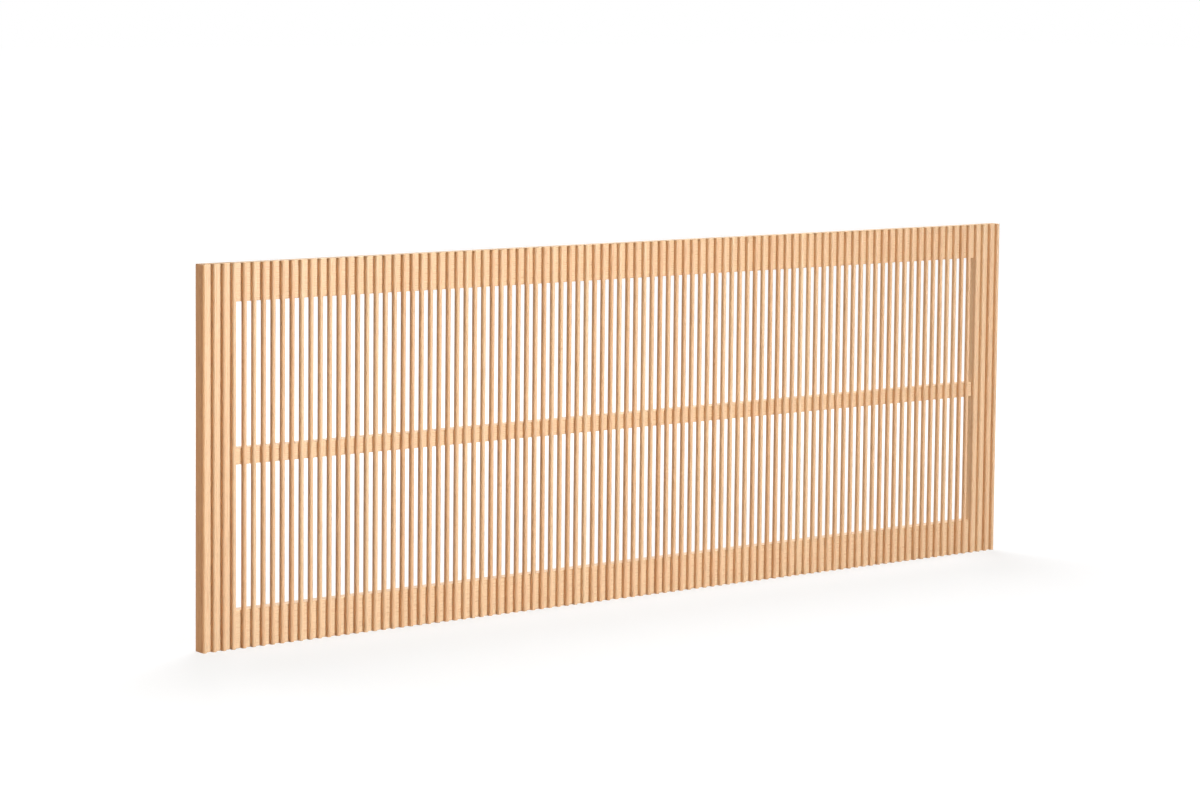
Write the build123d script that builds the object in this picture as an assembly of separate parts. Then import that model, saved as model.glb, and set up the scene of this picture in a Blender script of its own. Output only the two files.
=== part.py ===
"""Slatted headboard: upright half-round slats glued to a doweled frame of five boards.

The front faces -Y, the back face at +Y goes against the wall, and the origin is at the
middle of the underside. Sizes are in millimetres.
"""
from build123d import *
import os

os.makedirs("parts", exist_ok=True)

# Overall size of the panel
overall_width = 1950.0
overall_height = 700.0
overall_depth = 30.0

# Slats: as tall as the panel, with a half-round nose on straight sides and a flat back
slat_width = 9.0
slat_side_depth = 3.0
slat_edge_inset = 0.5
stile_slat_count = 4
field_slat_count = 89
field_edge_gap = 12.5
slats_per_node = 3

# Boards of the frame
stile_width = 70.0
top_rail_height = 70.0
middle_rail_height = 30.0
bottom_rail_height = 70.0
back_edge_radius = 3.5

# Dowels that join the rails to the stiles
dowel_diameter = 8.0
dowel_length = 40.0
dowel_fit_gap = 0.05
dowel_end_gap = 1.0
dowel_inset = 18.0

# Keyhole slots routed in the backs of the stiles, to hang the panel on two screws
keyhole_drop = 110.0
keyhole_entry_diameter = 10.0
keyhole_neck_width = 5.0
keyhole_rise = 16.0
keyhole_lip = 4.0
keyhole_depth = 12.0

# Cutters start this far outside the wood
overrun = 1.0

front_y = -overall_depth / 2
back_y = overall_depth / 2
outer_x = overall_width / 2
inner_x = outer_x - stile_width
nose_radius = slat_width / 2
shoulder_y = front_y + nose_radius
board_front_y = shoulder_y + slat_side_depth
board_middle_y = (board_front_y + back_y) / 2
outer_slat_x = outer_x - slat_edge_inset - nose_radius
inner_slat_x = inner_x + slat_edge_inset + nose_radius
last_field_slat_x = inner_x - field_edge_gap - nose_radius


def evenly_spaced(first, last, count):
    """Places of a row of equal pieces, from the first to the last."""
    step = (last - first) / (count - 1)
    return [first + step * index for index in range(count)]


def slat(x):
    """One slat, standing from the underside to the top of the panel."""
    left = x - nose_radius
    right = x + nose_radius
    flat_back = Polyline((left, shoulder_y), (left, board_front_y), (right, board_front_y), (right, shoulder_y))
    nose = ThreePointArc((right, shoulder_y), (x, front_y), (left, shoulder_y))
    return extrude(make_face(flat_back + nose), overall_height)


def board(x_low, x_high, z_low, z_high):
    """A flat board of the frame, behind the slats."""
    section = Pos((x_low + x_high) / 2, board_middle_y) * Rectangle(x_high - x_low, back_y - board_front_y)
    return Pos(0, 0, z_low) * extrude(section, z_high - z_low)


def round_back_edges(piece, open_sides):
    """Round the edges where the back of a board meets the sides that stay open to the hand."""
    back = piece.faces().sort_by(Axis.Y)[-1]
    edges = [back.edges().sort_by(axis)[end] for axis, end in open_sides]
    return fillet(edges, back_edge_radius) if edges else piece


def dowel_heights(z_low, z_high):
    """Two dowels in a tall rail, and one at mid-height in a rail too low for two."""
    lower = z_low + dowel_inset
    upper = z_high - dowel_inset
    if upper - lower < 2 * dowel_diameter:
        return [(z_low + z_high) / 2]
    return [lower, upper]


def rod_along_x(x, z, radius, length):
    """A round bar along X, centred in the thickness of the boards."""
    return Pos(x, board_middle_y, z) * Rot(0, 90, 0) * Cylinder(radius, length)


def dowel(x, z):
    """A dowel, half in the stile and half in the rail."""
    return rod_along_x(x, z, dowel_diameter / 2, dowel_length)


def dowel_hole(x, z):
    """The two blind holes of one dowel, across the seam between stile and rail."""
    return rod_along_x(x, z, dowel_diameter / 2 + dowel_fit_gap, dowel_length + 2 * dowel_end_gap)


def keyhole(x):
    """Entry hole, narrow neck and the wider undercut for the screw's head, cut from the back."""
    mouth = Plane(origin=(x, back_y, overall_height - keyhole_drop), x_dir=(0, 0, 1), z_dir=(0, 1, 0))
    outside = mouth.offset(overrun)
    behind_lip = mouth.offset(-keyhole_lip)
    run = Pos(keyhole_rise / 2, 0)
    entry = extrude(outside * Circle(keyhole_entry_diameter / 2), -(keyhole_depth + overrun))
    neck_depth = keyhole_lip + 2 * overrun
    neck = extrude(outside * run * SlotCenterToCenter(keyhole_rise, keyhole_neck_width), -neck_depth)
    undercut_depth = keyhole_depth - keyhole_lip
    undercut = extrude(
        behind_lip * run * SlotCenterToCenter(keyhole_rise, keyhole_entry_diameter),
        -undercut_depth,
    )
    return [entry, neck, undercut]


# Rails: lower and upper edge, and the sides that stay open
rail_plans = {
    "bottom_rail": (0, bottom_rail_height, [(Axis.Z, 0)]),
    "middle_rail": ((overall_height - middle_rail_height) / 2, (overall_height + middle_rail_height) / 2, []),
    "top_rail": (overall_height - top_rail_height, overall_height, [(Axis.Z, -1)]),
}
joint_heights = [z for z_low, z_high, _ in rail_plans.values() for z in dowel_heights(z_low, z_high)]
seams = (-inner_x, inner_x)

nodes = {}

for name, (z_low, z_high, open_sides) in rail_plans.items():
    rail = round_back_edges(board(-inner_x, inner_x, z_low, z_high), open_sides)
    nodes[name] = rail - [dowel_hole(x, z) for x in seams for z in dowel_heights(z_low, z_high)]

# Stiles: left and right edge, the seam with the rails, and the outer side
stile_plans = {
    "left_stile": (-outer_x, -inner_x, -inner_x, (Axis.X, 0)),
    "right_stile": (inner_x, outer_x, inner_x, (Axis.X, -1)),
}
for name, (x_low, x_high, seam_x, outer_side) in stile_plans.items():
    stile = board(x_low, x_high, 0, overall_height)
    stile = round_back_edges(stile, [outer_side, (Axis.Z, 0), (Axis.Z, -1)])
    stile -= [dowel_hole(seam_x, z) for z in joint_heights]
    nodes[name] = stile - keyhole((x_low + x_high) / 2)

nodes["frame_dowels"] = Compound(children=[dowel(x, z) for x in seams for z in joint_heights])

for number, x in enumerate(evenly_spaced(-outer_slat_x, -inner_slat_x, stile_slat_count), start=1):
    nodes[f"left_stile_slat_{number}"] = slat(x)

for number, x in enumerate(evenly_spaced(inner_slat_x, outer_slat_x, stile_slat_count), start=1):
    nodes[f"right_stile_slat_{number}"] = slat(x)

field_slats = evenly_spaced(-last_field_slat_x, last_field_slat_x, field_slat_count)
for start in range(0, field_slat_count, slats_per_node):
    group = [slat(x) for x in field_slats[start:start + slats_per_node]]
    nodes[f"field_slats_{start // slats_per_node + 1:02d}"] = Compound(children=group)

for name, shape in nodes.items():
    export_step(shape, f"parts/{name}.step")
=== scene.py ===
"""Looks of the slatted headboard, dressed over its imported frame.

The front faces -Y, the back goes against the wall at +Y, and +Z is up. Sizes are metres
unless a name or comment says millimetres.
"""

import math
import random

import bmesh
import bpy
from mathutils import Matrix, Vector


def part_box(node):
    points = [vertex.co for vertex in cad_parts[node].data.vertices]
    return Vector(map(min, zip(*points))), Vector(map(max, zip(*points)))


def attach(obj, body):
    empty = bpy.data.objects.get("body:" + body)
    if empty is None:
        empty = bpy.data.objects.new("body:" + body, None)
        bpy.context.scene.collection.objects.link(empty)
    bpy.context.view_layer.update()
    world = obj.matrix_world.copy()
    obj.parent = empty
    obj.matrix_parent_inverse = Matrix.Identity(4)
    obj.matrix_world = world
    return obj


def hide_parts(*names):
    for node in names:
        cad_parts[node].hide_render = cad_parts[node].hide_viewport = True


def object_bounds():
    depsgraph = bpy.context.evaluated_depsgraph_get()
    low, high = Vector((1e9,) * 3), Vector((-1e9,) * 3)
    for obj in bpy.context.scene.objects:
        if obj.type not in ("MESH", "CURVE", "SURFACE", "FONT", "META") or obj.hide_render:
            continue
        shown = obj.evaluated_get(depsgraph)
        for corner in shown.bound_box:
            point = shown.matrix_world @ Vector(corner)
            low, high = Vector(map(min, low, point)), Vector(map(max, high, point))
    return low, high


MM = 0.001
X, Y, Z = 0, 1, 2

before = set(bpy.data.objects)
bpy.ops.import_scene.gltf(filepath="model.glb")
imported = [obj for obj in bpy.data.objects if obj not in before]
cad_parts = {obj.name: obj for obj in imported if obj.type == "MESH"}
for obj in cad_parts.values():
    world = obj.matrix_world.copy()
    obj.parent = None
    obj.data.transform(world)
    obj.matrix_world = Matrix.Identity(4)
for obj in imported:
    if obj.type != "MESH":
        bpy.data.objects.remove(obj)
cad_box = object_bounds()


# Colour and node helpers

def linear(hex_colour):
    """An sRGB hex colour as the linear RGBA that Blender works in."""
    channels = [int(hex_colour[start:start + 2], 16) / 255 for start in (1, 3, 5)]
    return [c / 12.92 if c <= 0.04045 else ((c + 0.055) / 1.055) ** 2.4 for c in channels] + [1.0]


def add(tree, kind, inputs=None, **settings):
    """Adds a node with its settings, and gives each named input a value or a link."""
    node = tree.nodes.new(kind)
    for name, value in settings.items():
        setattr(node, name, value)
    for name, value in (inputs or {}).items():
        if isinstance(value, bpy.types.NodeSocket):
            tree.links.new(value, node.inputs[name])
        else:
            node.inputs[name].default_value = value
    return node


def new_material(name):
    """An empty node material and its tree."""
    material = bpy.data.materials.new(name)
    material.use_nodes = True
    material.node_tree.nodes.clear()
    return material, material.node_tree


def set_stops(ramp, stops):
    """Colours the two ends of a new ramp and adds the stops between, each a place and a colour."""
    ramp.elements[0].color = stops[0][1]
    ramp.elements[1].color = stops[-1][1]
    for place, colour in stops[1:-1]:
        ramp.elements.new(place).color = colour


# Wood

# Sizes of what shows in the wood, in millimetres across the grain and along it
DRIFT_MM = (30, 260)
STREAK_MM = (4.5, 420)
FIBRE_MM = (0.7, 45)

DRIFT_REACH_MM = 7.0
FIBRE_RELIEF_MM = 0.06
PORE_STRETCH = 24  # a pore is this many times as long as it is wide
PORE_DENSITY = 0.55  # places for a pore in each pore's width
PORE_RIM = (0.12, 0.34)  # from the middle of its place, a pore is whole up to here and ends there
SPRING_END = 0.45  # the pore-rich spring wood ends this far through a ring
SUMMER_PORES = 0.15  # how much of a pore is left in the summer wood
RING_PHASE = 20.0  # Blender's ring wave turns through this many radians for each unit of distance

# How dark one growth ring is from its start to its end: a pale spring band, then the summer band
RING_SHADES = ((0.0, 0.75), (0.12, 0.15), (0.70, 0.35), (1.0, 1.0))

USUAL_SHADE = 0.45
OIL_IOR = 1.5
RELIEF_STRENGTH = 0.35
SAWN_ROUGHNESS = 0.85
SAWN_FACING = (0.6, 0.9)  # how squarely a face has to look along the grain to be a sawn end

# For grain along X or Z: that axis, and the turn that lays it along Z
GRAIN = {
    "X": ((1, 0, 0), (0, math.pi / 2, 0)),
    "Z": ((0, 0, 1), (0, 0, 0)),
}


def per_mm(across, along):
    """Scale of a pattern that is this many millimetres across the grain and along it."""
    return (1 / across, 1 / across, 1 / along)


def place_in_tree(tree, place, turn):
    """Where in the tree each spot was, in millimetres, with the grain along Z."""
    in_mm = add(tree, "ShaderNodeMapping", {"Vector": place, "Rotation": turn, "Scale": (1 / MM,) * 3})
    cut = add(tree, "ShaderNodeAttribute", attribute_name="cut")
    both = {0: in_mm.outputs[0], 1: cut.outputs["Vector"]}
    return add(tree, "ShaderNodeVectorMath", both, operation="ADD").outputs[0]


def drifting(tree, wood):
    """The same places moved a few millimetres, since no trunk grows quite straight."""
    slow = add(tree, "ShaderNodeMapping", {"Vector": wood, "Scale": per_mm(*DRIFT_MM)})
    drift = add(tree, "ShaderNodeTexNoise", {"Vector": slow.outputs[0], "Detail": 1.0})
    from_mean = {0: drift.outputs["Color"], 1: (0.5, 0.5, 0.5)}
    centred = add(tree, "ShaderNodeVectorMath", from_mean, operation="SUBTRACT")
    moved = {0: centred.outputs[0], 1: (DRIFT_REACH_MM, DRIFT_REACH_MM, 0.0), 2: wood}
    return add(tree, "ShaderNodeVectorMath", moved, operation="MULTIPLY_ADD").outputs[0]


def growth_rings(tree, drifted, ring_mm):
    """How far through its year each spot grew, from 0 to 1, and how dark that part of a ring is."""
    rings = add(
        tree,
        "ShaderNodeTexWave",
        {"Vector": drifted, "Scale": 2 * math.pi / RING_PHASE / ring_mm, "Distortion": 0.0},
        wave_type="RINGS",
        rings_direction="Z",
        wave_profile="SAW",
    )
    season = rings.outputs["Fac"]
    ring = add(tree, "ShaderNodeValToRGB", {"Fac": season})
    ring.color_ramp.interpolation = "EASE"
    set_stops(ring.color_ramp, [(place, (dark, dark, dark, 1)) for place, dark in RING_SHADES])
    return season, ring.outputs["Color"]


def open_pores(tree, wood, season, pore_mm):
    """1 in the open pores, long and very thin and most of them in the spring wood, and 0 elsewhere."""
    pore_size = per_mm(pore_mm, pore_mm * PORE_STRETCH)
    place = add(tree, "ShaderNodeMapping", {"Vector": wood, "Scale": pore_size}).outputs[0]
    cells = add(tree, "ShaderNodeTexVoronoi", {"Vector": place, "Scale": PORE_DENSITY})
    whole, ended = PORE_RIM
    pore = add(
        tree,
        "ShaderNodeMapRange",
        {
            "Value": cells.outputs["Distance"],
            "From Min": whole,
            "From Max": ended,
            "To Min": 1.0,
            "To Max": 0.0,
        },
    )
    in_spring = add(
        tree,
        "ShaderNodeMapRange",
        {
            "Value": season,
            "From Min": 0.0,
            "From Max": SPRING_END,
            "To Min": 1.0,
            "To Max": SUMMER_PORES,
        },
    )
    both = {0: pore.outputs[0], 1: in_spring.outputs[0]}
    return add(tree, "ShaderNodeMath", both, operation="MULTIPLY").outputs[0]


def sawn_ends(tree, normal, grain_axis):
    """1 on sawn ends, where the face looks along the grain, and 0 on the sides."""
    facing = add(tree, "ShaderNodeVectorMath", {0: normal, 1: grain_axis}, operation="DOT_PRODUCT")
    along = add(tree, "ShaderNodeMath", {0: facing.outputs["Value"]}, operation="ABSOLUTE")
    side, end = SAWN_FACING
    return add(
        tree,
        "ShaderNodeMapRange",
        {"Value": along.outputs[0], "From Min": side, "From Max": end, "To Min": 0.0, "To Max": 1.0},
    ).outputs[0]


def solid_wood(name, grain, palette, ring_mm, pore_mm, roughness, shine=0.5):
    """Solid timber cut along one axis, so that its faces show straight grain and its ends show rings.

    Each piece's own "cut" says where in the tree it was sawn, and "tone" how dark it came out.
    """
    material, tree = new_material(name)
    coordinates = add(tree, "ShaderNodeTexCoord").outputs
    tone = add(tree, "ShaderNodeAttribute", attribute_name="tone").outputs["Fac"]
    grain_axis, turn = GRAIN[grain]
    wood = place_in_tree(tree, coordinates["Object"], turn)
    drifted = drifting(tree, wood)
    season, ring = growth_rings(tree, drifted, ring_mm)
    pores = open_pores(tree, wood, season, pore_mm)
    end_grain = sawn_ends(tree, coordinates["Normal"], grain_axis)

    # Streaks of colour a few millimetres wide, and fibres finer than one
    long_streaks = {"Vector": drifted, "Scale": per_mm(*STREAK_MM)}
    streaks = add(tree, "ShaderNodeMapping", long_streaks).outputs[0]
    streak = add(tree, "ShaderNodeTexNoise", {"Vector": streaks, "Detail": 3.0, "Roughness": 0.6})
    thin_fibres = {"Vector": wood, "Scale": per_mm(*FIBRE_MM)}
    fibres = add(tree, "ShaderNodeMapping", thin_fibres).outputs[0]
    fibre = add(tree, "ShaderNodeTexNoise", {"Vector": fibres, "Detail": 2.0, "Roughness": 0.65})

    # How far along the palette each spot is: the usual shade, moved by what the wood does there.
    # Sawn ends drink more oil, so they are darker.
    shade = USUAL_SHADE
    for source, middle, amount in (
        (ring, 0.4, 0.30),
        (streak.outputs["Fac"], 0.5, 1.1),
        (fibre.outputs["Fac"], 0.5, 0.35),
        (tone, 0.5, 0.55),
        (end_grain, 0.0, 0.12),
    ):
        away = add(tree, "ShaderNodeMath", {0: source, 1: middle}, operation="SUBTRACT")
        moved = {0: away.outputs[0], 1: amount, 2: shade}
        shade = add(tree, "ShaderNodeMath", moved, operation="MULTIPLY_ADD").outputs[0]

    colours = add(tree, "ShaderNodeValToRGB", {"Fac": shade})
    pale, mean, dark, pore_colour = [linear(shade_hex) for shade_hex in palette]
    set_stops(colours.color_ramp, [(0.0, pale), (0.5, mean), (1.0, dark)])
    pitted = add(
        tree,
        "ShaderNodeMix",
        {"Factor": pores, 6: colours.outputs["Color"], 7: pore_colour},
        data_type="RGBA",
    )

    # Relief: pores sink in and the fibres stand a few hundredths of a millimetre proud
    raised = {0: fibre.outputs["Fac"], 1: pores}
    height = add(tree, "ShaderNodeMath", raised, operation="SUBTRACT").outputs[0]
    relief = {"Height": height, "Strength": RELIEF_STRENGTH, "Distance": FIBRE_RELIEF_MM * MM}
    bump = add(tree, "ShaderNodeBump", relief)

    # Darker wood is a little rougher, and sawn ends are matt
    smoothest, roughest = roughness
    rough = add(
        tree,
        "ShaderNodeMapRange",
        {"Value": shade, "From Min": 0.0, "From Max": 1.0, "To Min": smoothest, "To Max": roughest},
    )
    or_sawn = {"Factor": end_grain, "A": rough.outputs[0], "B": SAWN_ROUGHNESS}
    rough_or_sawn = add(tree, "ShaderNodeMix", or_sawn)

    surface = add(
        tree,
        "ShaderNodeBsdfPrincipled",
        {
            "Base Color": pitted.outputs[2],
            "Roughness": rough_or_sawn.outputs[0],
            "Normal": bump.outputs[0],
            "IOR": OIL_IOR,
            "Specular IOR Level": shine,
        },
    )
    add(tree, "ShaderNodeOutputMaterial", {"Surface": surface.outputs[0]})
    return material


# Palettes run from pale to mean to dark, and end with the colour in the pores

# Ash with a clear satin oil: warm straw colour, fine straight lines and a soft shine
ASH = ("#F1D3AF", "#E8BF99", "#D4A175", "#BC8858")
SATIN = (0.29, 0.35)
slat_ash = solid_wood("oiled_ash_slat", "Z", ASH, ring_mm=3.2, pore_mm=0.35, roughness=SATIN, shine=0.4)

# The boards are the same ash, planed flat, where the oil sinks in and shines less. Their colours are
# painted a shade paler than the slats': a painted highlight for the bright strips of board between the
# slats
ASH_PAINTED_PALER = ("#EED8BA", "#E5C5A2", "#D1A77F", "#B98C61")
PLANED = (0.33, 0.39)
BOARD_CUT = {"ring_mm": 3.6, "pore_mm": 0.35, "roughness": PLANED, "shine": 0.2}
upright_ash = solid_wood("oiled_ash_stile", "Z", ASH_PAINTED_PALER, **BOARD_CUT)
level_ash = solid_wood("oiled_ash_rail", "X", ASH_PAINTED_PALER, **BOARD_CUT)

# Beech dowels, turned and left dry: pinker, even, with short flecks
BEECH = ("#E9C79F", "#DDB285", "#C8986A", "#B4845A")
DRY = (0.60, 0.72)
dowel_beech = solid_wood("dry_beech_dowel", "X", BEECH, ring_mm=2.4, pore_mm=0.25, roughness=DRY)


# Object and mesh helpers

def placed(name, data, material=None):
    """An object in the scene that holds a mesh, a lamp or a camera."""
    thing = bpy.data.objects.new(name, data)
    bpy.context.scene.collection.objects.link(thing)
    if material:
        data.materials.append(material)
    return thing


def skin(shape, outlines):
    """Joins closed outlines one to the next, and closes the first and the last, into one shell."""
    for lower, upper in zip(outlines, outlines[1:]):
        for here in range(len(lower)):
            after = (here + 1) % len(lower)
            shape.faces.new((lower[here], lower[after], upper[after], upper[here]))
    shape.faces.new(list(reversed(outlines[0])))
    shape.faces.new(outlines[-1])


def mesh_of(name, shape):
    """The mesh of a shape whose drawing is done."""
    mesh = bpy.data.meshes.new(name)
    shape.to_mesh(mesh)
    shape.free()
    return mesh


def apply_modifiers(piece):
    """Makes a piece's modifiers part of its mesh."""
    seen = piece.evaluated_get(bpy.context.evaluated_depsgraph_get())
    mesh = bpy.data.meshes.new_from_object(seen)
    piece.modifiers.clear()
    piece.data = mesh


def set_cut(mesh, cuts, tones):
    """Stores where each point's plank was sawn from the tree, and how dark it came out."""
    where = mesh.attributes.new("cut", "FLOAT_VECTOR", "POINT")
    where.data.foreach_set("vector", [number for cut in cuts for number in cut])
    how_dark = mesh.attributes.new("tone", "FLOAT", "POINT")
    how_dark.data.foreach_set("value", tones)


# The same timber in each run, from a trunk this long and this far from its heart
timber = random.Random(97)
TRUNK_MM = 4000
FROM_HEART_MM = (60, 160)


def new_cut():
    """A place in the tree, in millimetres: away from the heart in a random direction."""
    turn = timber.uniform(0, 2 * math.pi)
    out = timber.uniform(*FROM_HEART_MM)
    return (out * math.cos(turn), out * math.sin(turn), timber.uniform(0, TRUNK_MM))


# Slats

SLAT_WIDTH = 9.0 * MM
NOSE_RADIUS = SLAT_WIDTH / 2
SLAT_BACK_Y = -7.5 * MM
SLAT_EASE = 0.5 * MM
SLAT_END_EASE = 0.4 * MM
FIELD_PITCH = 20.18 * MM
NOSE_STEPS = 28
EASE_STEPS = 3

# Slats differ in tone: their mean, and how far most of them are from it
SLAT_TONE = (0.5, 0.2)

front_y = cad_box[0].y
foot_z = cad_box[0].z
top_z = cad_box[1].z


def slat_section(x, inset):
    """Outline of a slat seen from above, pulled in all round by inset: round nose, square back."""
    points = []
    nose = (x, front_y + NOSE_RADIUS)
    right_corner = (x + NOSE_RADIUS - SLAT_EASE, SLAT_BACK_Y - SLAT_EASE)
    left_corner = (x - NOSE_RADIUS + SLAT_EASE, SLAT_BACK_Y - SLAT_EASE)
    arcs = [
        (nose, NOSE_RADIUS, math.pi, 2 * math.pi, NOSE_STEPS),
        (right_corner, SLAT_EASE, 0.0, math.pi / 2, EASE_STEPS),
        (left_corner, SLAT_EASE, math.pi / 2, math.pi, EASE_STEPS),
    ]
    for (centre_x, centre_y), radius, start, end, steps in arcs:
        reach = radius - inset
        for step in range(steps + 1):
            angle = start + (end - start) * step / steps
            points.append((centre_x + reach * math.cos(angle), centre_y + reach * math.sin(angle)))
    return points


def slat_levels():
    """(height, inset) up the slat, with both ends eased by sandpaper."""
    foot = []
    for step in range(EASE_STEPS + 1):
        angle = math.pi / 2 * step / EASE_STEPS
        height = foot_z + SLAT_END_EASE * (1 - math.sin(angle))
        foot.append((height, SLAT_END_EASE * (1 - math.cos(angle))))
    foot.reverse()
    return foot + [(top_z + foot_z - z, inset) for z, inset in reversed(foot)]


def slats(name, centres, *nodes):
    """Half-round slats standing side by side, one closed shell each, in place of CAD nodes."""
    shape = bmesh.new()
    cuts = []
    tones = []
    for x in centres:
        cut = new_cut()
        tone = min(max(timber.gauss(*SLAT_TONE), 0.0), 1.0)
        outlines = []
        for z, inset in slat_levels():
            outlines.append([shape.verts.new((px, py, z)) for px, py in slat_section(x, inset)])
        skin(shape, outlines)
        made = len(outlines) * len(outlines[0])
        cuts += [cut] * made
        tones += [tone] * made
    for face in shape.faces:
        face.smooth = True
    mesh = mesh_of(name, shape)
    set_cut(mesh, cuts, tones)
    piece = placed(name, mesh, slat_ash)
    piece.modifiers.new("crisp flats", "WEIGHTED_NORMAL").keep_sharp = True
    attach(piece, "root")
    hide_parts(*nodes)


def slat_centres(node):
    """Where the slats of a CAD node stand, worked out from the widths that it spans."""
    low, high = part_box(node)
    first = low.x + NOSE_RADIUS
    last = high.x - NOSE_RADIUS
    if last - first < SLAT_WIDTH:
        return [(first + last) / 2]
    count = round((last - first) / FIELD_PITCH) + 1
    return [first + (last - first) * index / (count - 1) for index in range(count)]


for node in sorted(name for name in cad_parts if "slat" in name):
    slats(f"{node}_oiled", slat_centres(node), node)


# Boards of the frame

BACK_ROUND = 3.5 * MM
EDGE_EASE = 0.7 * MM
ROUND_STEPS = 4
SHARP_TURN = math.radians(35)  # edges that turn by more than this stay sharp
BOARD_TONES = (0.35, 0.6)


def lies_at(edge, axis, place):
    """Whether an edge lies in the plane that crosses the axis at this place."""
    return all(abs(corner.co[axis] - place) < MM for corner in edge.verts)


def eased_board(low, high, rounded):
    """A planed board, marked for rounding at the back on the sides named and for easing elsewhere."""
    shape = bmesh.new()
    bmesh.ops.create_cube(shape, size=1.0)
    stretch = Matrix.Diagonal((*(high - low), 1.0))
    bmesh.ops.transform(
        shape,
        matrix=Matrix.Translation((low + high) / 2) @ stretch,
        verts=shape.verts,
    )
    weights = shape.edges.layers.float.new("bevel_weight_edge")
    sides = {"left": (X, low.x), "right": (X, high.x), "foot": (Z, low.z), "top": (Z, high.z)}
    for edge in shape.edges:
        on_open_side = any(lies_at(edge, *sides[side]) for side in rounded)
        at_open_back = on_open_side and lies_at(edge, Y, high.y)
        edge[weights] = 1.0 if at_open_back else EDGE_EASE / BACK_ROUND
    return mesh_of("board", shape)


def drill(piece, cutters):
    """Cuts holes in a piece and takes the cutters away."""
    for cutter in cutters:
        cut = piece.modifiers.new("cut", "BOOLEAN")
        cut.operation = "DIFFERENCE"
        cut.solver = "EXACT"
        cut.object = cutter
    apply_modifiers(piece)
    for cutter in cutters:
        bpy.data.objects.remove(cutter)


def prism(name, outline, plane, depth):
    """A closed solid: an outline in the plane, pushed along its normal."""
    shape = bmesh.new()
    near = [shape.verts.new(plane @ Vector((u, v, 0))) for u, v in outline]
    far = [shape.verts.new(plane @ Vector((u, v, depth))) for u, v in outline]
    skin(shape, [near, far])
    bmesh.ops.recalc_face_normals(shape, faces=shape.faces)
    return placed(name, mesh_of(name, shape))


def slot_outline(radius, run, steps=24):
    """A round-ended slot that starts at the origin and runs up its second axis."""
    points = []
    for start, end_y in ((0.0, run), (math.pi, 0.0)):
        for step in range(steps + 1):
            angle = start + math.pi * step / steps
            points.append((radius * math.cos(angle), end_y + radius * math.sin(angle)))
    return points


OVERRUN = 1.0 * MM
HARDLY = 0.01 * MM  # a slot of this run is as good as round, and no two of its corners coincide
KEYHOLE_DROP = 110.0 * MM
KEYHOLE_RADIUS = 5.0 * MM
NECK_RADIUS = 2.5 * MM
KEYHOLE_RISE = 16.0 * MM
KEYHOLE_LIP = 4.0 * MM
KEYHOLE_DEPTH = 12.0 * MM


def keyhole(x, back_y):
    """Cutters of one keyhole, sunk from the back: round mouth, narrow neck, wide space behind it."""
    mouth_z = top_z - KEYHOLE_DROP
    into_wood = Matrix(((1, 0, 0, x), (0, 0, -1, back_y), (0, 1, 0, mouth_z), (0, 0, 0, 1)))
    outside = into_wood @ Matrix.Translation((0, 0, -OVERRUN))
    inside = into_wood @ Matrix.Translation((0, 0, KEYHOLE_LIP))
    return [
        prism("mouth", slot_outline(KEYHOLE_RADIUS, HARDLY), outside, KEYHOLE_DEPTH + OVERRUN),
        prism("neck", slot_outline(NECK_RADIUS, KEYHOLE_RISE), outside, KEYHOLE_LIP + 2 * OVERRUN),
        prism("wide", slot_outline(KEYHOLE_RADIUS, KEYHOLE_RISE), inside, KEYHOLE_DEPTH - KEYHOLE_LIP),
    ]


# Dowels join the rails to the stiles: two in a tall rail, and one in a rail too low for two
DOWEL_RADIUS = 4.05 * MM
DOWEL_REACH = 21.0 * MM
DOWEL_INSET = 18.0 * MM
DOWEL_STEPS = 12

dowel_low, dowel_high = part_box("frame_dowels")
dowel_y = (dowel_low.y + dowel_high.y) / 2
seam_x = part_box("right_stile")[0].x

dowel_heights = []
for rail in ("bottom_rail", "middle_rail", "top_rail"):
    low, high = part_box(rail)
    if high.z - low.z > 2 * DOWEL_INSET + 4 * DOWEL_RADIUS:
        dowel_heights += [low.z + DOWEL_INSET, high.z - DOWEL_INSET]
    else:
        dowel_heights.append((low.z + high.z) / 2)


def dowel_holes(board_low, board_high):
    """Cutters for the blind dowel holes in one board, across each seam that it meets."""
    cutters = []
    along_x = Matrix.Rotation(math.pi / 2, 4, "Y")
    bore = slot_outline(DOWEL_RADIUS, HARDLY, DOWEL_STEPS)
    for x in (-seam_x, seam_x):
        for z in dowel_heights:
            if board_low.x - MM < x < board_high.x + MM and board_low.z < z < board_high.z:
                start = Matrix.Translation((x - DOWEL_REACH, dowel_y, z)) @ along_x
                cutters.append(prism("drill", bore, start, 2 * DOWEL_REACH))
    return cutters


# The sides that are rounded at the back, the wood, and whether the board has a keyhole
BOARDS = {
    "left_stile": (("left", "foot", "top"), upright_ash, True),
    "right_stile": (("right", "foot", "top"), upright_ash, True),
    "top_rail": (("top",), level_ash, False),
    "middle_rail": ((), level_ash, False),
    "bottom_rail": (("foot",), level_ash, False),
}

for node, (rounded, material, hangs) in BOARDS.items():
    low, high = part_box(node)
    board = placed(f"{node}_oiled", eased_board(low, high, rounded), material)
    ease = board.modifiers.new("eased edges", "BEVEL")
    ease.width = BACK_ROUND
    ease.segments = ROUND_STEPS
    ease.limit_method = "WEIGHT"
    apply_modifiers(board)
    cutters = dowel_holes(low, high)
    if hangs:
        cutters += keyhole((low.x + high.x) / 2, high.y)
    drill(board, cutters)
    for face in board.data.polygons:
        face.use_smooth = True
    board.data.set_sharp_from_angle(angle=SHARP_TURN)
    count = len(board.data.vertices)
    set_cut(board.data, [new_cut()] * count, [timber.uniform(*BOARD_TONES)] * count)
    board.modifiers.new("crisp flats", "WEIGHTED_NORMAL").keep_sharp = True
    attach(board, "root")
    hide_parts(node)

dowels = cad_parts["frame_dowels"]
dowels.data.materials.clear()
dowels.data.materials.append(dowel_beech)


# Floor and backdrop

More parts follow.
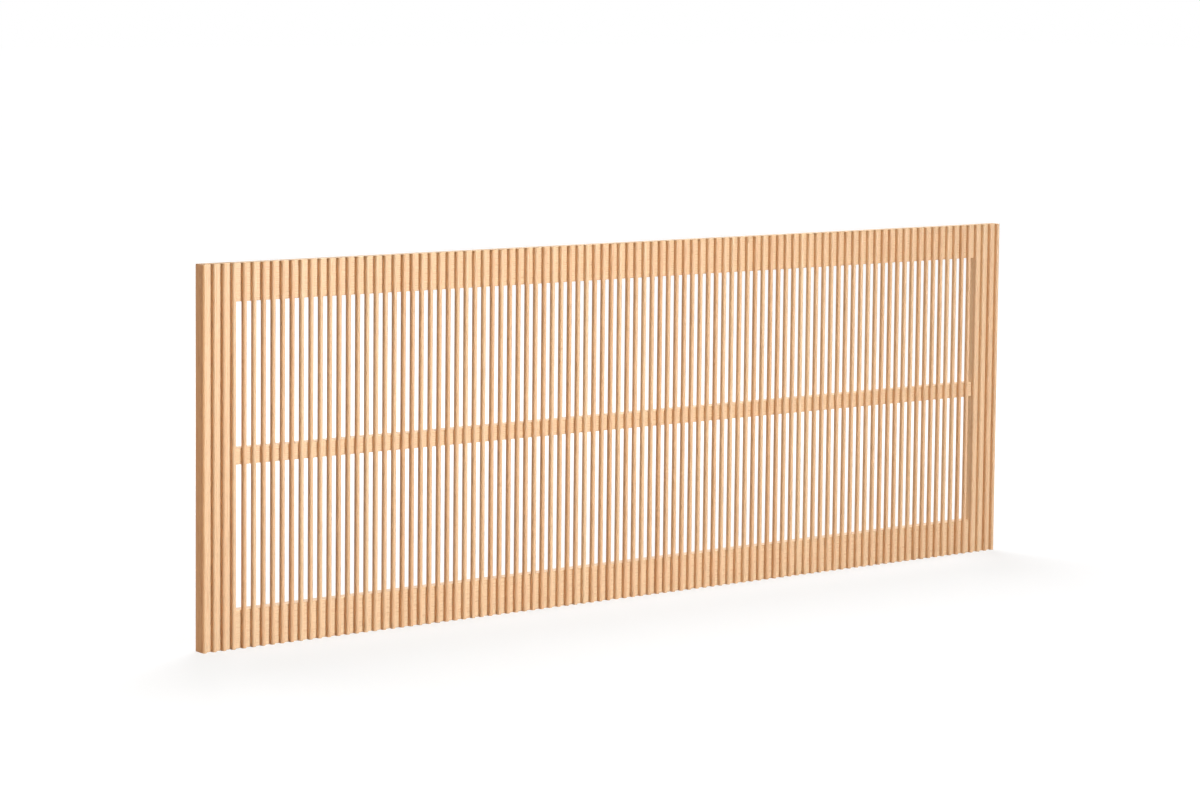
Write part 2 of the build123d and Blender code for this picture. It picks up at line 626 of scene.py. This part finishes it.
def seen_directly(tree):
    """1 for rays from the camera, from gloss and through glass, and 0 for light that falls on things."""
    rays = add(tree, "ShaderNodeLightPath").outputs
    seen_or_glossy = {0: rays["Is Camera Ray"], 1: rays["Is Glossy Ray"]}
    either = add(tree, "ShaderNodeMath", seen_or_glossy, operation="MAXIMUM")
    or_through = {0: either.outputs[0], 1: rays["Is Transmission Ray"]}
    return add(tree, "ShaderNodeMath", or_through, operation="MAXIMUM").outputs[0]


WHITE = (1, 1, 1, 1)
FLOOR_HALF = 40.0
floor_mesh = bpy.data.meshes.new("floor")
floor_mesh.from_pydata(
    [(x * FLOOR_HALF, y * FLOOR_HALF, 0) for x, y in ((-1, -1), (1, -1), (1, 1), (-1, 1))],
    [],
    [(0, 1, 2, 3)],
)
floor_paper, tree = new_material("white_paper_sweep")

# The paper throws little light back, so that the shaded sides of the wood keep their colour
lit = add(tree, "ShaderNodeBsdfDiffuse", {"Color": linear("#A8998A")})

# What is seen of it is a grey that takes the headboard's shadow, and its own white on top. That
# white is whole from FAR_OFF on, and nearer than NEAR_BY it leaves room for the shadow.
NEAR_BY = 0.9
FAR_OFF = 2.4
WHITE_NEAR_BY = 0.80
dim = add(tree, "ShaderNodeBsdfDiffuse", {"Color": linear("#858689")})
on_floor = add(tree, "ShaderNodeTexCoord").outputs["Object"]
from_middle = add(tree, "ShaderNodeVectorMath", {0: on_floor}, operation="LENGTH").outputs["Value"]
whiteness = add(
    tree,
    "ShaderNodeMapRange",
    {
        "Value": from_middle,
        "From Min": NEAR_BY,
        "From Max": FAR_OFF,
        "To Min": WHITE_NEAR_BY,
        "To Max": 1.0,
    },
)
glow = add(tree, "ShaderNodeEmission", {"Color": WHITE, "Strength": whiteness.outputs[0]})
white = add(tree, "ShaderNodeAddShader", {0: dim.outputs[0], 1: glow.outputs[0]})
seen = seen_directly(tree)
paper = add(tree, "ShaderNodeMixShader", {0: seen, 1: lit.outputs[0], 2: white.outputs[0]})
add(tree, "ShaderNodeOutputMaterial", {"Surface": paper.outputs[0]})
floor = placed("floor", floor_mesh, floor_paper)

# The backdrop is seen as white, and sends only a little warm light to the wood
FILL = (1, 0.83, 0.64, 1)
FILL_STRENGTH = 0.03
world = bpy.data.worlds.new("white_studio")
world.use_nodes = True
bpy.context.scene.world = world
tree = world.node_tree
tree.nodes.clear()
fill = add(tree, "ShaderNodeBackground", {"Color": FILL, "Strength": FILL_STRENGTH})
backdrop = add(tree, "ShaderNodeBackground", {"Color": WHITE, "Strength": 1.0})
seen = seen_directly(tree)
sky = add(tree, "ShaderNodeMixShader", {0: seen, 1: fill.outputs[0], 2: backdrop.outputs[0]})
add(tree, "ShaderNodeOutputWorld", {"Surface": sky.outputs[0]})


# Lamps

def softbox(name, at, aim, width, height, power, colour=(1, 1, 1), spread=math.pi):
    """A soft lamp of so many watts at a place, turned towards another."""
    lamp = bpy.data.lights.new(name, "AREA")
    lamp.shape = "RECTANGLE"
    lamp.size = width
    lamp.size_y = height
    lamp.energy = power
    lamp.color = colour
    lamp.spread = spread
    holder = placed(name, lamp)
    holder.location = at
    holder.rotation_euler = (Vector(aim) - Vector(at)).to_track_quat("-Z", "Y").to_euler()


MIDDLE = (0.0, 0.0, 0.35)
LEFT_END = (cad_box[0].x, 0.0, 0.2)
CREAM = (1, 0.96, 0.80)
AMBER = (1, 0.58, 0.24)

# The key lamp has a grid over it and is aimed at the left end, so that its light falls off to the right
KEY_SPREAD = math.radians(60)
softbox("key_softbox", (4.3, -12.0, 0.8), LEFT_END, 2.4, 1.4, 113, spread=KEY_SPREAD)
softbox("front_softbox", (-0.5, -2.6, 1.3), MIDDLE, 1.2, 1.0, 33, CREAM)
softbox("top_softbox", (1.0, 1.6, 3.9), MIDDLE, 2.0, 1.5, 150)
softbox("back_softbox", (-0.8, 5.0, 1.3), MIDDLE, 2.5, 1.5, 105)

# A narrow lamp beside the left end warms the side that the key lamp leaves in shade
softbox("side_softbox", (-3.2, 0.02, 0.25), LEFT_END, 0.3, 0.7, 19, AMBER)


# The picture's camera: 1200 x 798 pixels, looking at the slatted front from its left, above mid-height

PICTURE_WIDTH = 1200
PICTURE_HEIGHT = 798
SENSOR_MM = 36.0
FOCAL_PX = 3346.3
AXIS_ROW_PX = 250.0
CAMERA_PLACE = (-3.986, -5.155, 1.224)
YAW, PITCH, ROLL = (math.radians(angle) for angle in (37.144, 4.742, -0.566))

forward = Vector((math.sin(YAW) * math.cos(PITCH), math.cos(YAW) * math.cos(PITCH), -math.sin(PITCH)))
level_right = Vector((math.cos(YAW), -math.sin(YAW), 0))
level_down = forward.cross(level_right)
right = level_right * math.cos(ROLL) + level_down * math.sin(ROLL)
down = level_down * math.cos(ROLL) - level_right * math.sin(ROLL)
turned = Matrix((right, -down, -forward)).transposed().to_4x4()

lens = bpy.data.cameras.new("camera")
lens.sensor_width = SENSOR_MM
lens.lens = FOCAL_PX * SENSOR_MM / PICTURE_WIDTH
lens.shift_y = (AXIS_ROW_PX - PICTURE_HEIGHT / 2) / PICTURE_WIDTH
lens.clip_start = 0.1
lens.clip_end = 200.0
camera = placed("camera", lens)
camera.matrix_world = Matrix.Translation(CAMERA_PLACE) @ turned
bpy.context.scene.camera = camera
bpy.context.scene.view_settings.view_transform = "Standard"
